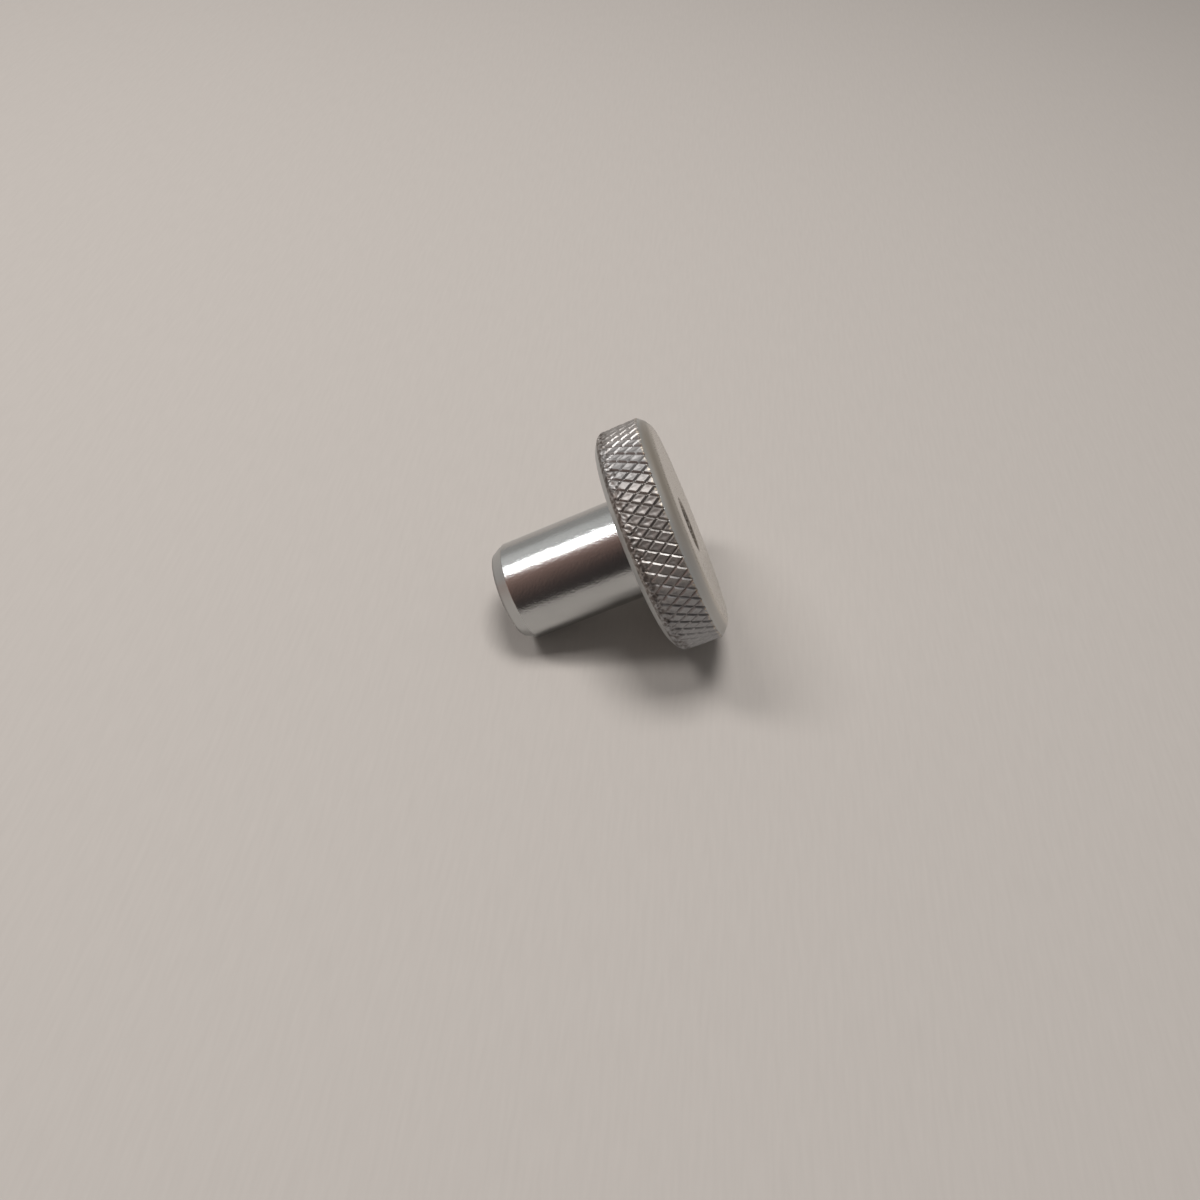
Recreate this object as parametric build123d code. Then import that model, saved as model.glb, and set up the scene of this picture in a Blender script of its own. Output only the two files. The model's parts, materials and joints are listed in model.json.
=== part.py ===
from build123d import *
import math
import os

# Knurled thumb nut turned from one bar: a plain hub carries a wide knurled head,
# and a threaded hole runs through both along the axis.
# Frame: +Z is the turning axis, and the origin is the centre of the hub's end face,
# so the nut stands on its hub with the head on top.

# Head
HEAD_DIAMETER = 25.0
HEAD_THICKNESS = 6.3
FRONT_CHAMFER = 1.3
BACK_CHAMFER_WIDTH = 1.3
BACK_CHAMFER_HEIGHT = 0.8

# Hub
HUB_DIAMETER = 11.0
HUB_LENGTH = 15.0
HUB_CHAMFER_WIDTH = 0.7
HUB_CHAMFER_HEIGHT = 1.4

# Threaded hole, drawn at the thread's crest, with a countersunk mouth at each end
BORE_DIAMETER = 5.0
MOUTH_DIAMETER = 6.3

# Softened edges round the two end faces
EDGE_RADIUS = 0.3

# Diamond knurl: V grooves leaning to either hand, with flat lands between them
KNURL_PITCH = 1.05
KNURL_ANGLE = 32.0
GROOVE_DEPTH = 0.2
GROOVE_WIDTH = 0.5

# Where two grooves cross: how far round from +X, in degrees, and how far above the rim's middle
CROSSING_TURN = -3.2
CROSSING_RISE = 0.34

# How far a cutting shape runs past the surface that it opens
OVERRUN = 0.5

# Sizes that follow from the ones above
HEAD_RADIUS = HEAD_DIAMETER / 2
HUB_RADIUS = HUB_DIAMETER / 2
BORE_RADIUS = BORE_DIAMETER / 2
MOUTH_RADIUS = MOUTH_DIAMETER / 2
MOUTH_DEPTH = MOUTH_RADIUS - BORE_RADIUS
LENGTH = HUB_LENGTH + HEAD_THICKNESS
KNURL_START = HUB_LENGTH + BACK_CHAMFER_HEIGHT
KNURL_END = LENGTH - FRONT_CHAMFER
KNURL_LEAN = math.radians(KNURL_ANGLE)
KNURL_COUNT = round(math.pi * HEAD_DIAMETER * math.cos(KNURL_LEAN) / KNURL_PITCH)


def corner_at(radius, height):
    """A test that picks the section's corner at one radius and height."""
    corner = Vector(radius, height)
    return lambda vertex: (Vector(vertex.X, vertex.Y) - corner).length < EDGE_RADIUS / 2


def turned_section():
    """Half section of the nut, with the radius along X and the height along Y."""
    hub_end_edge = (HUB_RADIUS - HUB_CHAMFER_WIDTH, 0)
    front_edge = (HEAD_RADIUS - FRONT_CHAMFER, LENGTH)
    section = make_face(
        Polyline(
            (BORE_RADIUS, MOUTH_DEPTH),
            (MOUTH_RADIUS, 0),
            hub_end_edge,
            (HUB_RADIUS, HUB_CHAMFER_HEIGHT),
            (HUB_RADIUS, HUB_LENGTH),
            (HEAD_RADIUS - BACK_CHAMFER_WIDTH, HUB_LENGTH),
            (HEAD_RADIUS, KNURL_START),
            (HEAD_RADIUS, KNURL_END),
            front_edge,
            (MOUTH_RADIUS, LENGTH),
            (BORE_RADIUS, LENGTH - MOUTH_DEPTH),
            close=True,
        )
    )
    for edge in (hub_end_edge, front_edge):
        section = fillet(section.vertices().filter_by(corner_at(*edge)), EDGE_RADIUS)
    return section


def rim_flats():
    """A prism with two sides to each knurl pitch: its corners are the long diagonals of the lands."""
    return Rot(0, 0, CROSSING_TURN) * extrude(RegularPolygon(HEAD_RADIUS, 2 * KNURL_COUNT), amount=LENGTH)


def groove_cutter():
    """One straight V along Z, with its point below the rim's surface and its back above it."""
    back_radius = HEAD_RADIUS + OVERRUN
    half_back = (GROOVE_WIDTH / 2) * (GROOVE_DEPTH + OVERRUN) / GROOVE_DEPTH
    section = make_face(
        Polyline(
            (HEAD_RADIUS - GROOVE_DEPTH, 0),
            (back_radius, half_back),
            (back_radius, -half_back),
            close=True,
        )
    )
    half_run = HEAD_THICKNESS / 2 / math.cos(KNURL_LEAN) + OVERRUN
    return extrude(section, amount=half_run, both=True)


def knurl_grooves():
    """Both families of grooves, spaced evenly round the rim and crossing near its middle."""
    cutter = groove_cutter()
    crossing = (KNURL_START + KNURL_END) / 2 + CROSSING_RISE
    grooves = []
    for lean in (KNURL_ANGLE, -KNURL_ANGLE):
        leaning_cutter = Pos(0, 0, crossing) * Rot(lean, 0, 0) * cutter
        for step in range(KNURL_COUNT):
            turn = CROSSING_TURN + step * 360 / KNURL_COUNT
            grooves.append(Rot(0, 0, turn) * leaning_cutter)
    return grooves


turned_blank = revolve(Plane.XZ * turned_section(), Axis.Z) & rim_flats()
knurled_nut = turned_blank - knurl_grooves()
knurled_nut.label = "knurled_nut"

os.makedirs("parts", exist_ok=True)
export_step(knurled_nut, "parts/knurled_nut.step")
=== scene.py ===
import json
import math
import bmesh
import bpy
from mathutils import Matrix, Vector


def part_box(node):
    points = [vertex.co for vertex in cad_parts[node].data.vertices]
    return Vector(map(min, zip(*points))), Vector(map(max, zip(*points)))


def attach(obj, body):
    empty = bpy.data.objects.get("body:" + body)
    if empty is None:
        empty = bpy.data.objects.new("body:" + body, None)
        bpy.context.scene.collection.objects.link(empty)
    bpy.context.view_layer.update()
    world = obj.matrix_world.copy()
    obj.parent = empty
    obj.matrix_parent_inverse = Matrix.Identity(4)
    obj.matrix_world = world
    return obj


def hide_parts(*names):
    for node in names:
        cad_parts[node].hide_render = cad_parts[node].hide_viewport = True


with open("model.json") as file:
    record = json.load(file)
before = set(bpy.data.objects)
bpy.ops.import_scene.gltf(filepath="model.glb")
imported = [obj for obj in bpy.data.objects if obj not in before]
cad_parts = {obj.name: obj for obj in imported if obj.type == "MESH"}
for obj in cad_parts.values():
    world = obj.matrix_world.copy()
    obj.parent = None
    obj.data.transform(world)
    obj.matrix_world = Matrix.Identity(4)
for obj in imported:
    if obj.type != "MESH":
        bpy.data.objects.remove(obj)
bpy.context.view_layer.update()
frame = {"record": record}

# Sizes of the nut, in metres. What the frame knows is read from it.
MM = 0.001
nut_low, nut_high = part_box("knurled_nut")
thread_mount = next(mount for mount in frame["record"]["mounts"] if mount["name"] == "thread")
RIM_RADIUS = (nut_high.x - nut_low.x) / 2
LENGTH = nut_high.z - nut_low.z
BORE_RADIUS = thread_mount["dims"]["r_mm"] * MM
HUB_LENGTH = 15.0 * MM
HUB_RADIUS = 5.5 * MM
HUB_CHAMFER_WIDTH = 0.7 * MM
HUB_CHAMFER_HEIGHT = 1.4 * MM
BACK_CHAMFER_WIDTH = 1.3 * MM
BACK_CHAMFER_HEIGHT = 0.8 * MM
FRONT_CHAMFER = 1.3 * MM
MOUTH_RADIUS = 3.15 * MM
FACE_DISH = 0.25 * MM
KNURL_START = HUB_LENGTH + BACK_CHAMFER_HEIGHT
KNURL_END = LENGTH - FRONT_CHAMFER

# The front chamfer bulges a little: a corner this far in from the rim and the face, and a narrower face
CHAMFER_BULGE = 0.6 * MM
FACE_INSET = 0.2 * MM

# Roundings of the blank's corners, from the bore out over the hub's end and the rim to the face
BORE_ROUNDING = 0.1 * MM
MOUTH_ROUNDING = 0.12 * MM
HUB_END_ROUNDING = 0.3 * MM
HUB_CHAMFER_ROUNDING = 0.25 * MM
NECK_ROUNDING = 0.15 * MM
BACK_ROUNDING = 0.3 * MM
RIM_BACK_ROUNDING = 1.2 * MM
RIM_FRONT_ROUNDING = 0.05 * MM
BULGE_ROUNDING = 1.2 * MM
FACE_ROUNDING = 0.9 * MM

# Arcs have a point every so often, and a guard point just past either end keeps the flats flat
ARC_STEP = math.radians(9)
ARC_GUARD = 0.08 * MM
BLANK_SIDES_PER_GROOVE = 4
CRISP_FOLD = math.radians(28)

# Knurl: grooves of both hands, their pitch square to the groove, and where two of them cross
KNURL_PITCH = 1.05 * MM
KNURL_LEAN = math.radians(32)
CROSSING_TURN = math.radians(-3.2)
CROSSING_RISE = 0.34 * MM
CROSSING_HEIGHT = (KNURL_START + KNURL_END) / 2 + CROSSING_RISE
GROOVE_COUNT = round(2 * math.pi * RIM_RADIUS * math.cos(KNURL_LEAN) / KNURL_PITCH)
GROOVE_TRAVEL = 2 * math.pi * RIM_RADIUS / GROOVE_COUNT / math.tan(KNURL_LEAN)
GROOVE_DEPTH = 0.135 * MM
GROOVE_HALF_SHARE = 0.165
STEPS_PER_GROOVE = 12
KNURL_ROWS = 70
SLEEVE_RADIUS_SHARE = 1.2
SLEEVE_DEPTH_SHARE = 0.96

# Wear of the knurl: hollow, pebbled and tilted lands, and dents along a crushed strip at its back edge
LAND_HOLLOW = 0.075 * MM
LAND_PEBBLE = 0.065 * MM
LAND_TILT = 0.05 * MM
EDGE_DENT = 0.13 * MM
CRUSHED_STRIP = 1.8 * MM
CRUSHED_GROOVE_SHARE = 0.5
LEAST_HOLLOW_SHARE = 0.35
LAND_NUMBER_STEP = 97
LEFT_TILT_SPREAD = 7
RIGHT_TILT_SPREAD = 31
KNURL_SEED = 7

# Thread: sixty degree turns, one millimetre apart, cut into a bore that is left a little small
THREAD_PITCH = 1.0 * MM
THREAD_DEPTH = 0.54 * MM
TAP_STOCK = 0.2 * MM
TAP_SIDES = 64
TAP_ROWS_PER_PITCH = 8

# Everything that the knurling and tapping tree is given
KNURL_AND_THREAD_SIZES = {
    "Rim Radius": ("Float", RIM_RADIUS),
    "Groove Count": ("Int", GROOVE_COUNT),
    "Steps per Groove": ("Int", STEPS_PER_GROOVE),
    "Rows": ("Int", KNURL_ROWS),
    "Groove Travel": ("Float", GROOVE_TRAVEL),
    "Crossing Height": ("Float", CROSSING_HEIGHT),
    "Crossing Turn": ("Float", CROSSING_TURN),
    "Groove Depth": ("Float", GROOVE_DEPTH),
    "Groove Half Share": ("Float", GROOVE_HALF_SHARE),
    "Land Hollow": ("Float", LAND_HOLLOW),
    "Land Pebble": ("Float", LAND_PEBBLE),
    "Land Tilt": ("Float", LAND_TILT),
    "Edge Dent": ("Float", EDGE_DENT),
    "Crushed Start": ("Float", KNURL_START),
    "Crushed Strip": ("Float", CRUSHED_STRIP),
    "Seed": ("Int", KNURL_SEED),
    "Thread Radius": ("Float", BORE_RADIUS),
    "Thread Depth": ("Float", THREAD_DEPTH),
    "Thread Pitch": ("Float", THREAD_PITCH),
    "Nut Length": ("Float", LENGTH),
}

# Scales of the marks on the metal
GRAIN_SCALE = 5 / MM
PATCH_SCALE = 2.2 / MM
CLOUD_SCALE = 0.35 / MM
DENT_SCALE = 2.0 / MM
PEBBLE_SCALE = 1.8 / MM
TURNING_SCALE = 9 / MM
TURNING_DRIFT = 0.08 / MM
RELIEF_DEPTH = 0.012 * MM

# Narrowest soft border between two finishes
SOFT = 0.05 * MM

# Turns from +X: the front chamfer's side with the most painted shade, the stretch of knurl painted darker
# where it mirrors the lamp, and the knurl's side painted cooler and lighter where it mirrors the warm floor
SHADED_CHAMFER_TURN = math.radians(-125)
SHADED_KNURL_TURN = math.radians(-131)
COOL_TINT_TURN = math.radians(-20)

# Colours of the metal, its grime and painted shade, the board and the room
PLATE_DARK = (0.47, 0.48, 0.478, 1)
PLATE_LIGHT = (0.54, 0.55, 0.548, 1)
# Painted shade: the front chamfer's plate, darker and browner
SHADED_PLATE = (0.44, 0.40, 0.35, 1)
WORN_KNURL = (0.352, 0.332, 0.317, 1)
# Painted tint: the knurl cooler and lighter where it mirrors the warm floor
COOL_TINTED_KNURL = (0.384, 0.388, 0.40, 1)
# Painted shade: the knurl darker where it mirrors the lamp
SHADED_KNURL = (0.285, 0.277, 0.273, 1)
# Worn tips of the lands, also painted lighter as glints
BARED_STEEL_AND_GLINT = (0.64, 0.57, 0.47, 1)
FACED_STEEL = (0.60, 0.575, 0.535, 1)
# Grime on the crushed back edge; painted shade in the grooves, bore and mouth; painted dark reflection on
# the hub's end edge
GRIME_AND_SHADE = (0.065, 0.045, 0.034, 1)
BOARD_DARK = (0.512, 0.466, 0.428, 1)
BOARD_LIGHT = (0.558, 0.509, 0.468, 1)
ROOM_LIGHT = (0.19, 0.19, 0.19, 1)
ROOM_SEEN = (0.41, 0.395, 0.38, 1)
DARK_CARD = (0.05, 0.042, 0.04, 1)

# How the nut lies: on its hub's end and its rim, on the side at this turn about its axis
REST_TURN = math.radians(48.9)
FLOOR_GAP = 0.01 * MM
FLOOR_HALF_WIDTH = 0.6
FIBRES_ALONG = 0.25 / MM
FIBRES_ACROSS = 2.2 / MM

# Camera, in the nut's frame
CAMERA_PLACE = Vector((0, -101.96, 27.09)) * MM
CAMERA_AIM = Vector((4.11, 0, 9.06)) * MM
CAMERA_ROLL = math.radians(-7.39)
CAMERA_LENS = 28.5
CAMERA_SENSOR = 36
CAMERA_CLIP = 1.0 * MM

# How far the lamps and the cards stand from the nut, and how finely a card is curved
LAMP_DISTANCE = 0.5
CARD_DISTANCE = 0.3
CARD_COLUMNS = 25
CARD_ROWS = 9


class Wire:
    """An output socket of a node tree. Arithmetic on it adds the tree's own Math nodes."""

    def __init__(self, bench, socket):
        self.bench = bench
        self.socket = socket

    def math(self, operation, *others):
        return self.bench.add("ShaderNodeMath", {"operation": operation}, [self, *others])

    def __add__(self, other):
        return self.math("ADD", other)

    def __radd__(self, other):
        return self.math("ADD", other)

    def __sub__(self, other):
        return self.math("SUBTRACT", other)

    def __rsub__(self, other):
        return self.bench.add("ShaderNodeMath", {"operation": "SUBTRACT"}, [other, self])

    def __mul__(self, other):
        return self.math("MULTIPLY", other)

    def __rmul__(self, other):
        return self.math("MULTIPLY", other)

    def __truediv__(self, other):
        return self.math("DIVIDE", other)

    def __rtruediv__(self, other):
        return self.bench.add("ShaderNodeMath", {"operation": "DIVIDE"}, [other, self])

    def between(self, low, high):
        """Nought below low, one above high, and a smooth rise from one to the other."""
        return self.bench.add(
            "ShaderNodeMapRange",
            {"interpolation_type": "SMOOTHSTEP"},
            {"Value": self, "From Min": low, "From Max": high},
        )


class Bench:
    """A node tree, with one way to add any node to it."""

    def __init__(self, tree):
        self.tree = tree

    def add(self, kind, settings=None, sockets=None, out=0):
        """Adds a node, sets its settings, then sets or links its sockets, and gives one output."""
        node = self.tree.nodes.new(kind)
        for name, value in (settings or {}).items():
            setattr(node, name, value)
        pairs = sockets.items() if isinstance(sockets, dict) else enumerate(sockets or ())
        for key, value in pairs:
            for one in value if isinstance(value, list) else [value]:
                self.join(node.inputs[key], one)
        return Wire(self, node.outputs[out]) if node.outputs else node

    def join(self, slot, value):
        if isinstance(value, Wire):
            self.tree.links.new(value.socket, slot)
        else:
            slot.default_value = value

    def split(self, vector):
        """The three components of a vector."""
        node = self.add("ShaderNodeSeparateXYZ", None, [vector]).socket.node
        return [Wire(self, socket) for socket in node.outputs]

    def vector(self, x, y, z):
        return self.add("ShaderNodeCombineXYZ", None, [x, y, z])

    def noise(self, place, scale, detail):
        return self.add("ShaderNodeTexNoise", None, {"Vector": place, "Scale": scale, "Detail": detail})

    def blend(self, factor, first, second):
        """One colour at nought, the other at one."""
        sockets = {"Factor": factor, "A": first, "B": second}
        return self.add("ShaderNodeMix", {"data_type": "RGBA"}, sockets, out="Result")


def empty_bench(owner):
    """The emptied node tree of a material or a world."""
    owner.use_nodes = True
    owner.node_tree.nodes.clear()
    return Bench(owner.node_tree)


def nut_finish():
    """Bright zinc plate on turned steel, with painted shade in the knurl's grooves, the bore and the mouth,
    a painted dark reflection on the hub's end edge, and grime on the knurl's crushed back edge.
    """
    material = bpy.data.materials.new("bright_zinc_plate")
    bench = empty_bench(material)
    place = bench.add("ShaderNodeTexCoord", out="Object")
    x, y, height = bench.split(place)
    radius = (x * x + y * y).math("SQRT")

    # Turning marks run round the axis: they change fast along the outline and slowly across it
    outline = radius + height * 1.3
    ring_place = bench.vector(x * TURNING_DRIFT, y * TURNING_DRIFT, outline * TURNING_SCALE)
    rings = bench.noise(ring_place, 1.0, 2.0)
    grain = bench.noise(place, GRAIN_SCALE, 3.0)
    cloud = bench.noise(place, CLOUD_SCALE, 3.0)
    patch = bench.noise(place, PATCH_SCALE, 2.0)

    # Knurled band, and how near the place is to a groove of either hand, in pitches
    band = height.between(KNURL_START - 7 * SOFT, KNURL_START - 4 * SOFT)
    band = band * (1 - height.between(KNURL_END + 2 * SOFT, KNURL_END + 4 * SOFT))
    along = (y.math("ARCTAN2", x) - CROSSING_TURN) * (GROOVE_COUNT / (2 * math.pi))
    climb = (height - CROSSING_HEIGHT) / GROOVE_TRAVEL
    near = (along - climb).math("PINGPONG", 0.5).math("MINIMUM", (along + climb).math("PINGPONG", 0.5))
    flank = band * (1 - near.between(0.7 * GROOVE_HALF_SHARE, GROOVE_HALF_SHARE))
    groove_foot = band * (1 - near.between(0.05 * GROOVE_HALF_SHARE, 0.5 * GROOVE_HALF_SHARE))
    front_tips = band * height.between(KNURL_END - 3 * SOFT, KNURL_END)
    back_edge = band * (1 - height.between(KNURL_START + 6 * SOFT, KNURL_START + 30 * SOFT))

    # Hub, bore and front face
    past_chamfer = height.between(HUB_CHAMFER_HEIGHT - 2 * SOFT, HUB_CHAMFER_HEIGHT + 2 * SOFT)
    hub = past_chamfer * (1 - height.between(HUB_LENGTH - 4 * SOFT, HUB_LENGTH))
    end_chamfer = 1 - past_chamfer
    # The hub's end edge takes a painted dark reflection of the shadowed floor
    end_edge = 1 - height.between(0, 7 * SOFT)
    bore = 1 - radius.between(BORE_RADIUS, MOUTH_RADIUS - 3 * SOFT)
    mouth = 1 - radius.between(MOUTH_RADIUS - 2 * SOFT, MOUTH_RADIUS + 2 * SOFT)
    face_radius = RIM_RADIUS - FRONT_CHAMFER
    face = height.between(LENGTH - 16 * SOFT, LENGTH - 8 * SOFT)
    face = face * (1 - radius.between(face_radius, face_radius + 10 * SOFT))

    # Sides of the head given painted shade or a painted tint, by the cosine of the turn away from each
    def side(turn, edge_cosine, full_cosine):
        cosine = (x * math.cos(turn) + y * math.sin(turn)) / radius
        return cosine.between(edge_cosine, full_cosine)

    # Painted shade on the front chamfer, heaviest on this side
    shaded_chamfer_side = side(SHADED_CHAMFER_TURN, 0.5, 0.97)
    # Painted shade on the stretch of knurl that mirrors the lamp
    shaded_knurl_side = side(SHADED_KNURL_TURN, 0.95, 0.995)
    # Painted cooler, lighter tint on the knurl's side that mirrors the warm floor
    cool_tinted_side = side(COOL_TINT_TURN, 0.5, 0.95)
    # Painted shade over the front chamfer: a quarter all round, up to three quarters on that side
    chamfer_shade = height.between(KNURL_END + 2 * SOFT, KNURL_END + 12 * SOFT) * (0.25 + shaded_chamfer_side * 0.5)

    # Plate with the chamfer's painted shade; knurl with its painted shade and painted tint
    plate = bench.blend(chamfer_shade, bench.blend(cloud, PLATE_DARK, PLATE_LIGHT), SHADED_PLATE)
    knurl = bench.blend(shaded_knurl_side, bench.blend(cool_tinted_side, WORN_KNURL, COOL_TINTED_KNURL), SHADED_KNURL)
    metal = bench.blend(band, plate, knurl)
    # Worn front tips of the lands, painted lighter as glints here and there
    metal = bench.blend(front_tips * grain.between(0.45, 0.65), metal, BARED_STEEL_AND_GLINT)
    metal = bench.blend(face, metal, FACED_STEEL)
    # Grime colour: painted shade at the grooves' foot, in the bore and the mouth, a painted dark reflection
    # on the hub's end edge, and grime on the crushed back edge
    dirt_and_shade = (groove_foot * 0.35).math("MAXIMUM", bore * 0.95).math("MAXIMUM", end_edge * 0.6)
    dirt_and_shade = dirt_and_shade.math("MAXIMUM", mouth * grain.between(0.3, 0.6) * 0.8)
    dirt_and_shade = dirt_and_shade.math("MAXIMUM", back_edge * patch.between(0.4, 0.6) * 0.7)
    colour = bench.blend(dirt_and_shade, metal, GRIME_AND_SHADE)

    roughness = 0.42 - hub * 0.25 - end_chamfer * 0.1 + band * 0.12 - flank * 0.11 - face * 0.14
    roughness = roughness + (grain - 0.5) * 0.1
    relief = (rings * 0.4 + grain * (0.6 + hub * 1.6) + cloud * hub * 0.2) * (1 - face * 0.8)
    bump = bench.add("ShaderNodeBump", None, {"Strength": 0.8, "Distance": RELIEF_DEPTH, "Height": relief})
    surface = bench.add(
        "ShaderNodeBsdfPrincipled",
        None,
        {"Base Color": colour, "Metallic": 1.0, "Roughness": roughness, "Normal": bump},
    )
    bench.add("ShaderNodeOutputMaterial", None, {"Surface": surface})
    return material


def rounded_outline(corners):
    """A closed outline of (radius, height) points, each corner cut by an arc of its own radius."""
    points = []
    for index, (r, z, rounding) in enumerate(corners):
        here = Vector((r, z))
        before = Vector(corners[index - 1][:2])
        after = Vector(corners[(index + 1) % len(corners)][:2])
        inward = (before - here).normalized()
        onward = (after - here).normalized()
        half = inward.angle(onward) / 2
        reach = rounding / math.tan(half)
        centre = here + (inward + onward).normalized() * (rounding / math.sin(half))
        start = here + inward * reach - centre
        finish = here + onward * reach - centre
        sweep = start.angle_signed(finish)
        steps = max(2, math.ceil(abs(sweep) / ARC_STEP))
        points.append(here + inward * (reach + ARC_GUARD))
        for step in range(steps + 1):
            turn = Matrix.Rotation(-sweep * step / steps, 2)
            points.append(centre + turn @ start)
        points.append(here + onward * (reach + ARC_GUARD))
    return points


def turned_blank():
    """The nut as it leaves the lathe: bored and countersunk, with a plain rim."""
    bore = BORE_RADIUS - TAP_STOCK
    mouth_depth = MOUTH_RADIUS - bore
    mouth_height = LENGTH - FACE_DISH
    corners = (
        (bore, mouth_depth, BORE_ROUNDING),
        (MOUTH_RADIUS, 0, MOUTH_ROUNDING),
        (HUB_RADIUS - HUB_CHAMFER_WIDTH, 0, HUB_END_ROUNDING),
        (HUB_RADIUS, HUB_CHAMFER_HEIGHT, HUB_CHAMFER_ROUNDING),
        (HUB_RADIUS, HUB_LENGTH, NECK_ROUNDING),
        (RIM_RADIUS - BACK_CHAMFER_WIDTH, HUB_LENGTH, BACK_ROUNDING),
        (RIM_RADIUS, KNURL_START, RIM_BACK_ROUNDING),
        (RIM_RADIUS, KNURL_END, RIM_FRONT_ROUNDING),
        (RIM_RADIUS - CHAMFER_BULGE, LENGTH - CHAMFER_BULGE, BULGE_ROUNDING),
        (RIM_RADIUS - FRONT_CHAMFER - FACE_INSET, LENGTH, FACE_ROUNDING),
        (MOUTH_RADIUS, mouth_height, MOUTH_ROUNDING),
        (bore, mouth_height - mouth_depth, BORE_ROUNDING),
    )
    outline = rounded_outline(corners)
    around = BLANK_SIDES_PER_GROOVE * GROOVE_COUNT
    mesh = bpy.data.meshes.new("turned_blank")
    shape = bmesh.new()
    rings = []
    for step in range(around):
        turn = 2 * math.pi * step / around
        rings.append([shape.verts.new((p.x * math.cos(turn), p.x * math.sin(turn), p.y)) for p in outline])
    for step, ring in enumerate(rings):
        following = rings[(step + 1) % around]
        for index in range(len(outline)):
            after = (index + 1) % len(outline)
            shape.faces.new((ring[index], following[index], following[after], ring[after]))
    bmesh.ops.recalc_face_normals(shape, faces=shape.faces)
    shape.to_mesh(mesh)
    shape.free()
    blank = bpy.data.objects.new("knurled_thumb_nut", mesh)
    bpy.context.scene.collection.objects.link(blank)
    return blank


def rod(bench, sides, rows, radius, depth):
    """A closed rod along Z, with rows of quads up its side."""
    return bench.add(
        "GeometryNodeMeshCylinder",
        {"fill_type": "NGON"},
        {"Vertices": sides, "Side Segments": rows, "Radius": radius, "Depth": depth},
        out="Mesh",
    )


def difference(bench, body, cutters):
    """What is left of a body when the cutters are taken out of it."""
    return bench.add(
        "GeometryNodeMeshBoolean",
        {"operation": "DIFFERENCE", "solver": "MANIFOLD"},
        {"Mesh 1": body, "Mesh 2": cutters},
    )


def knurl_sleeve(bench, size):
    """The knurling wheel's mark turned inside out: a sleeve whose inner wall is the rolled rim."""
    place = bench.add("GeometryNodeInputPosition")
    x, y, z = bench.split(place)
    turn = y.math("ARCTAN2", x)

    # The core's upright edges are twisted to follow one family of grooves, and its short diagonals
    # follow the other
    rim = size["Rim Radius"]
    core_depth = size["Groove Travel"] / size["Steps per Groove"] / 2 * size["Rows"]
    core = rod(bench, size["Groove Count"] * size["Steps per Groove"], size["Rows"], rim, core_depth)
    per_turn = size["Groove Count"] / (2 * math.pi)
    left_family = turn * per_turn
    right_family = left_family + z * 2 / size["Groove Travel"]
    near = left_family.math("PINGPONG", 0.5).math("MINIMUM", right_family.math("PINGPONG", 0.5))
    half = size["Groove Half Share"]

    # Grooves are shallower, and the metal dented, along the crushed strip
    crushed_end = size["Crushed Start"] + size["Crushed Strip"]
    crushed = 1 - (z + size["Crossing Height"]).between(size["Crushed Start"], crushed_end)
    groove = (1 - near / half).math("MAXIMUM", 0) * size["Groove Depth"]
    groove = groove * (1 - crushed * CRUSHED_GROOVE_SHARE)
    dents = bench.noise(place, DENT_SCALE, 0.0).between(0.3, 0.7) * crushed * size["Edge Dent"]

    # Each land has a number of its own, and with it the luck of its hollow and its tilt. Of the random
    # node's sockets, 2 and 3 are the bounds, 7 is the number and 8 is the seed.
    left_cell = left_family.math("FLOOR").math("FLOORED_MODULO", size["Groove Count"])
    right_cell = right_family.math("FLOOR").math("FLOORED_MODULO", size["Groove Count"])
    land_number = left_cell * LAND_NUMBER_STEP + right_cell
    luck = bench.add(
        "FunctionNodeRandomValue",
        {"data_type": "FLOAT"},
        {2: LEAST_HOLLOW_SHARE, 3: 1.0, 7: land_number, 8: size["Seed"]},
        out=1,
    )
    hollow = ((near - half) / (0.5 - half)).between(0.1, 0.85) * luck * size["Land Hollow"]
    left_tip = (left_family.math("FRACT") - 0.5) * (luck * LEFT_TILT_SPREAD).math("FRACT")
    right_tip = (right_family.math("FRACT") - 0.5) * (luck * RIGHT_TILT_SPREAD).math("FRACT")
    tilt = (left_tip + right_tip + 0.5).math("MAXIMUM", 0) * size["Land Tilt"]
    pebble = bench.noise(place, PEBBLE_SCALE, 2.0) * size["Land Pebble"]

    radius = rim - groove - hollow - tilt - dents - pebble
    twisted = turn + z / size["Groove Travel"] / per_turn
    rolled = bench.vector(radius * twisted.math("COSINE"), radius * twisted.math("SINE"), z)
    core = bench.add("GeometryNodeSetPosition", None, {"Geometry": core, "Position": rolled})
    core = bench.add("GeometryNodeTriangulate", {"quad_method": "SHORTEST_DIAGONAL"}, {"Mesh": core})
    sleeve_radius = rim * SLEEVE_RADIUS_SHARE
    sleeve_depth = core_depth * SLEEVE_DEPTH_SHARE
    sleeve = difference(bench, rod(bench, size["Groove Count"], 1, sleeve_radius, sleeve_depth), core)
    lift = bench.vector(0.0, 0.0, size["Crossing Height"])
    spin = bench.vector(0.0, 0.0, size["Crossing Turn"])
    sockets = {"Geometry": sleeve, "Translation": lift, "Rotation": spin}
    return bench.add("GeometryNodeTransform", None, sockets)


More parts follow.
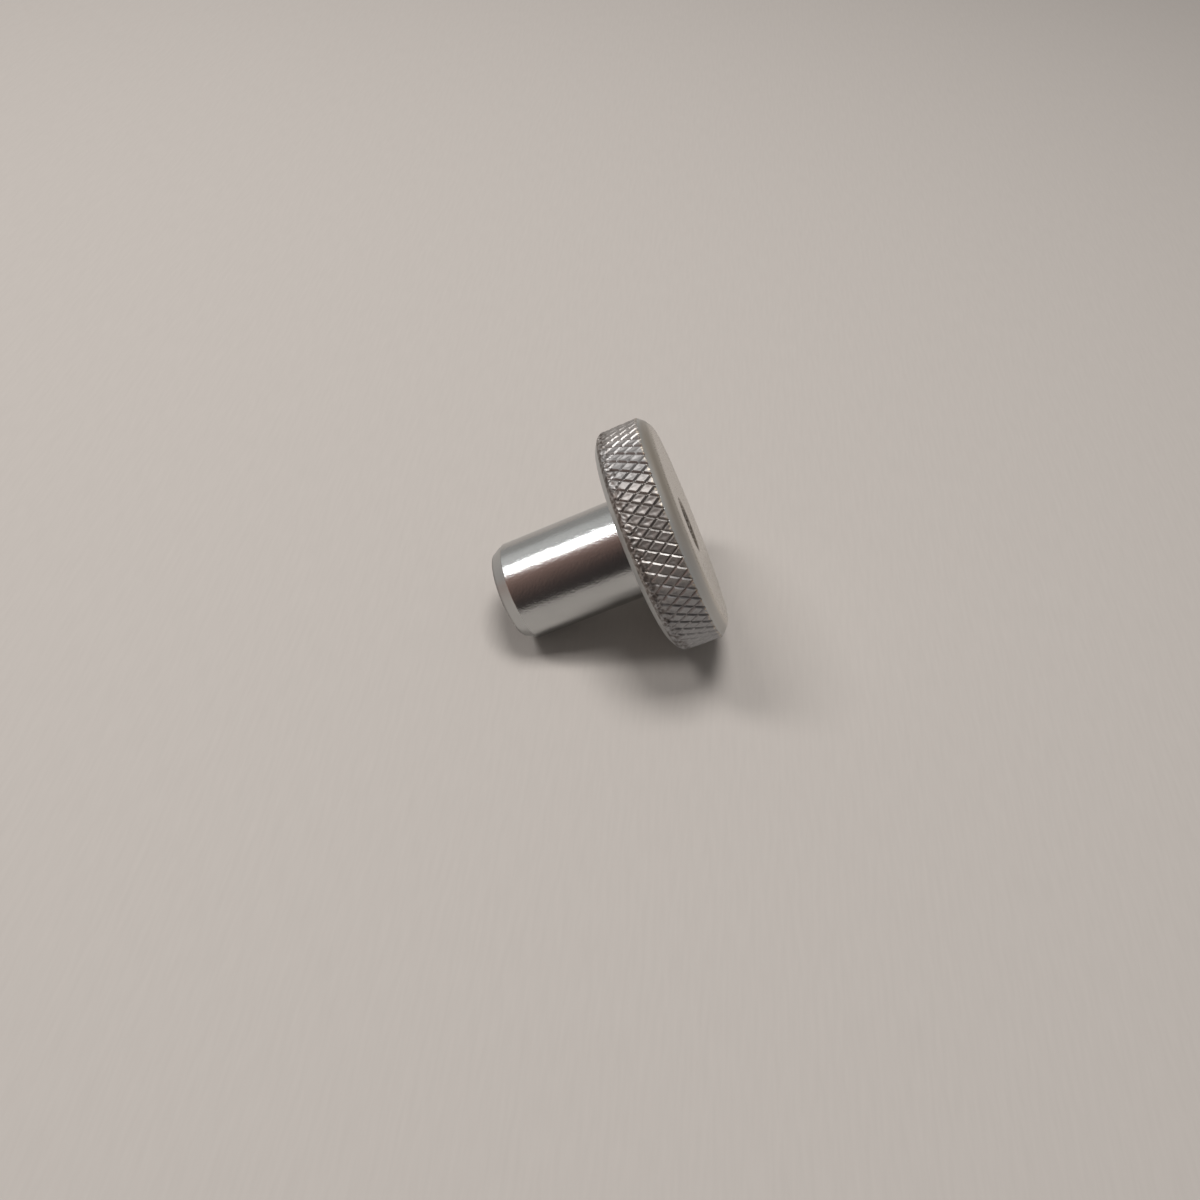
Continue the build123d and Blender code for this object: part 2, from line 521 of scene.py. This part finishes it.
def thread_tap(bench, size):
    """A rod a little longer than the nut, with one turn of its ridge to each pitch."""
    x, y, z = bench.split(bench.add("GeometryNodeInputPosition"))
    turn = y.math("ARCTAN2", x)
    length = size["Nut Length"] + size["Thread Pitch"] * 2
    rows = (length / size["Thread Pitch"] * TAP_ROWS_PER_PITCH).math("ROUND")
    tap = rod(bench, TAP_SIDES, rows, size["Thread Radius"], length)
    ridge = (z / size["Thread Pitch"] - turn / (2 * math.pi)).math("PINGPONG", 0.5) * 2
    swell = size["Thread Radius"] + ridge.between(0.1, 0.9) * size["Thread Depth"]
    swollen = bench.vector(swell * turn.math("COSINE"), swell * turn.math("SINE"), z)
    tap = bench.add("GeometryNodeSetPosition", None, {"Geometry": tap, "Position": swollen})
    lift = bench.vector(0.0, 0.0, size["Nut Length"] / 2)
    return bench.add("GeometryNodeTransform", None, {"Geometry": tap, "Translation": lift})


def knurl_and_thread_tree(finish):
    """Rolls the diamond knurl into the blank's rim and taps the thread through its bore."""
    tree = bpy.data.node_groups.new("knurl_and_thread", "GeometryNodeTree")
    tree.interface.new_socket("Geometry", in_out="INPUT", socket_type="NodeSocketGeometry")
    tree.interface.new_socket("Geometry", in_out="OUTPUT", socket_type="NodeSocketGeometry")
    named = {
        name: tree.interface.new_socket(name, in_out="INPUT", socket_type="NodeSocket" + kind)
        for name, (kind, _) in KNURL_AND_THREAD_SIZES.items()
    }
    bench = Bench(tree)
    given = tree.nodes.new("NodeGroupInput")
    size = {name: Wire(bench, given.outputs[name]) for name in named}
    blank = Wire(bench, given.outputs["Geometry"])
    nut = difference(bench, blank, [knurl_sleeve(bench, size), thread_tap(bench, size)])

    # Smooth all over, but for the folds that are sharp
    fold = bench.add("GeometryNodeInputMeshEdgeAngle", out="Unsigned Angle")
    crisp = bench.add("FunctionNodeCompare", {"operation": "GREATER_THAN"}, [fold, CRISP_FOLD])
    nut = bench.add(
        "GeometryNodeSetShadeSmooth",
        {"domain": "FACE"},
        {"Geometry": nut, "Shade Smooth": True},
    )
    nut = bench.add(
        "GeometryNodeSetShadeSmooth",
        {"domain": "EDGE"},
        {"Geometry": nut, "Selection": crisp, "Shade Smooth": False},
    )
    nut = bench.add("GeometryNodeRealizeInstances", None, {"Geometry": nut})
    nut = bench.add("GeometryNodeSetMaterial", None, {"Geometry": nut, "Material": finish})
    result = tree.nodes.new("NodeGroupOutput")
    tree.links.new(nut.socket, result.inputs["Geometry"])
    return tree, named


def knurled_nut(finish):
    """The finished nut, as one plain mesh in the place of its solid."""
    nut = turned_blank()
    tree, named = knurl_and_thread_tree(finish)
    rolling = nut.modifiers.new("knurl_and_thread", "NODES")
    rolling.node_group = tree
    for name, (_, value) in KNURL_AND_THREAD_SIZES.items():
        rolling[named[name].identifier] = value
    rolled = nut.evaluated_get(bpy.context.evaluated_depsgraph_get())
    mesh = bpy.data.meshes.new_from_object(rolled)
    nut.modifiers.remove(rolling)
    nut.data = mesh
    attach(nut, "root")
    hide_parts("knurled_nut")


# The floor's own directions: up from it, level towards the camera, and level to the left
lean = math.atan2(RIM_RADIUS - HUB_RADIUS, KNURL_START - HUB_CHAMFER_HEIGHT)
rest_side = Vector((math.cos(REST_TURN), math.sin(REST_TURN), 0))
floor_up = Vector((0, 0, 1)) * math.sin(lean) - rest_side * math.cos(lean)
rim_contact = rest_side * RIM_RADIUS + Vector((0, 0, KNURL_START))
floor_point = rim_contact - floor_up * FLOOR_GAP
view_line = (CAMERA_AIM - CAMERA_PLACE).normalized()
towards_camera = -(view_line - floor_up * view_line.dot(floor_up)).normalized()
to_the_left = towards_camera.cross(floor_up)
nut_middle = Vector((0, 0, LENGTH / 2))


def room_direction(turn, rise):
    """A direction given in degrees: its turn from the camera's side towards the left, and its rise."""
    turn = math.radians(turn)
    rise = math.radians(rise)
    level = towards_camera * math.cos(turn) + to_the_left * math.sin(turn)
    return level * math.cos(rise) + floor_up * math.sin(rise)


def placed(point, right, up, back):
    """The place of a lamp or a camera that looks away from its back."""
    return Matrix.Translation(point) @ Matrix((right, up, back)).transposed().to_4x4()


def floor_finish():
    """Pale warm board with fine fibres towards the camera, seen only from above."""
    material = bpy.data.materials.new("pale_board")
    bench = empty_bench(material)
    nearward, leftward, _ = bench.split(bench.add("ShaderNodeUVMap", {"uv_map": "near_and_left"}))
    fibre_place = bench.vector(nearward * FIBRES_ALONG, leftward * FIBRES_ACROSS, 0.0)
    colour = bench.blend(bench.noise(fibre_place, 1.0, 3.0), BOARD_DARK, BOARD_LIGHT)
    matt = bench.add("ShaderNodeBsdfDiffuse", None, {"Color": colour})
    clear = bench.add("ShaderNodeBsdfTransparent")
    behind = bench.add("ShaderNodeNewGeometry", out="Backfacing")
    surface = bench.add("ShaderNodeMixShader", None, [behind, matt, clear])
    bench.add("ShaderNodeOutputMaterial", None, {"Surface": surface})
    return material


def pale_floor():
    """The board that the nut lies on, with a map of metres towards the camera and to the left."""
    corners = [
        (FLOOR_HALF_WIDTH * near, FLOOR_HALF_WIDTH * left)
        for near, left in ((1, 1), (1, -1), (-1, -1), (-1, 1))
    ]
    points = [floor_point + towards_camera * near + to_the_left * left for near, left in corners]
    mesh = bpy.data.meshes.new("pale_floor")
    mesh.from_pydata([tuple(point) for point in points], [], [(0, 1, 2, 3)])
    spread = mesh.uv_layers.new(name="near_and_left")
    for loop in mesh.loops:
        spread.data[loop.index].uv = corners[loop.vertex_index]
    mesh.materials.append(floor_finish())
    board = bpy.data.objects.new("pale_floor", mesh)
    bpy.context.scene.collection.objects.link(board)


def card_finish(name, right_colour, left_colour, fades_down):
    """A card that shades from one colour at its right end to another at its left, or at its top left."""
    material = bpy.data.materials.new(name)
    bench = empty_bench(material)
    leftward, upward, _ = bench.split(bench.add("ShaderNodeUVMap", {"uv_map": "turn_and_rise"}))
    colour = bench.blend(leftward * upward if fades_down else leftward, right_colour, left_colour)
    glow = bench.add("ShaderNodeEmission", None, {"Color": colour})
    bench.add("ShaderNodeOutputMaterial", None, {"Surface": glow})
    return material


def curved_card(name, turns, rises, right_colour, left_colour, fades_down=False, nearer=1.0):
    """A curved card round the nut, between two turns and two rises, seen only in the metal."""
    shares = [
        (column / (CARD_COLUMNS - 1), row / (CARD_ROWS - 1))
        for row in range(CARD_ROWS)
        for column in range(CARD_COLUMNS)
    ]
    points = []
    for across, up in shares:
        turn = turns[0] + (turns[1] - turns[0]) * across
        rise = rises[0] + (rises[1] - rises[0]) * up
        points.append(nut_middle + room_direction(turn, rise) * (CARD_DISTANCE * nearer))
    faces = []
    for row in range(CARD_ROWS - 1):
        for column in range(CARD_COLUMNS - 1):
            first = row * CARD_COLUMNS + column
            above = first + CARD_COLUMNS
            faces.append((first, first + 1, above + 1, above))
    mesh = bpy.data.meshes.new(name)
    mesh.from_pydata([tuple(point) for point in points], [], faces)
    spread = mesh.uv_layers.new(name="turn_and_rise")
    for loop in mesh.loops:
        spread.data[loop.index].uv = shares[loop.vertex_index]
    mesh.materials.append(card_finish(name, right_colour, left_colour, fades_down))
    card = bpy.data.objects.new(name, mesh)
    bpy.context.scene.collection.objects.link(card)
    card.visible_camera = False
    card.visible_diffuse = False
    card.visible_shadow = False


def lamp(name, turn, rise, wide, tall, level):
    """A soft rectangular lamp that looks at the nut, so many degrees wide and tall from there."""
    light = bpy.data.lights.new(name, "AREA")
    light.shape = "RECTANGLE"
    light.size = 2 * LAMP_DISTANCE * math.tan(math.radians(wide) / 2)
    light.size_y = 2 * LAMP_DISTANCE * math.tan(math.radians(tall) / 2)
    light.energy = level * math.pi * light.size * light.size_y
    holder = bpy.data.objects.new(name, light)
    facing = room_direction(turn, rise)
    across = floor_up.cross(facing).normalized()
    holder.matrix_world = placed(nut_middle + facing * LAMP_DISTANCE, across, facing.cross(across), facing)
    holder.visible_camera = False
    bpy.context.scene.collection.objects.link(holder)


def even_room():
    """A dim, even room light, and a brighter room where the metal or the camera looks at it."""
    world = bpy.data.worlds.new("even_room")
    bench = empty_bench(world)
    path = bench.add("ShaderNodeLightPath").socket.node
    seen = Wire(bench, path.outputs["Is Camera Ray"])
    for kind in ("Is Glossy Ray", "Is Transmission Ray"):
        seen = seen + Wire(bench, path.outputs[kind])
    light = bench.add("ShaderNodeBackground", None, {"Color": bench.blend(seen, ROOM_LIGHT, ROOM_SEEN)})
    bench.add("ShaderNodeOutputWorld", None, {"Surface": light})
    bpy.context.scene.world = world


def stage():
    """Floor, the cards that the metal mirrors, two soft lamps and the room."""
    pale_floor()
    curved_card("dark_card", (-62, 8), (-2, 72), right_colour=DARK_CARD, left_colour=DARK_CARD)
    curved_card("brown_card", (8, 78), (-2, 70), right_colour=DARK_CARD, left_colour=(0.40, 0.245, 0.20, 1))
    curved_card(
        "lamp_skirt",
        (68, 88),
        (42, 62),
        right_colour=(0.35, 0.215, 0.176, 1),
        left_colour=(3.0, 2.8, 2.8, 1),
        fades_down=True,
        nearer=0.98,
    )
    curved_card(
        "ceiling_card",
        (114, 141),
        (22, 46),
        right_colour=(0.85, 0.84, 0.82, 1),
        left_colour=(0.65, 0.64, 0.62, 1),
    )
    curved_card(
        "right_card",
        (-172, -85),
        (6, 45),
        right_colour=(0.355, 0.315, 0.265, 1),
        left_colour=(0.35, 0.325, 0.31, 1),
    )
    lamp("left_lamp", turn=96, rise=53, wide=10, tall=19, level=17.0)
    lamp("overhead_lamp", turn=157, rise=83, wide=20, tall=20, level=15.0)
    even_room()


def camera():
    """The photograph's view: close, with a wide lens, tilted a little to one side."""
    lens = bpy.data.cameras.new("camera")
    lens.lens = CAMERA_LENS
    lens.sensor_width = CAMERA_SENSOR
    lens.clip_start = CAMERA_CLIP
    holder = bpy.data.objects.new("camera", lens)
    level_up = (floor_up - view_line * floor_up.dot(view_line)).normalized()
    up = Matrix.Rotation(CAMERA_ROLL, 3, view_line) @ level_up
    holder.matrix_world = placed(CAMERA_PLACE, view_line.cross(up), up, -view_line)
    bpy.context.scene.collection.objects.link(holder)
    bpy.context.scene.camera = holder


knurled_nut(nut_finish())
stage()
camera()
bpy.context.scene.view_settings.view_transform = "Standard"

bpy.context.view_layer.update()
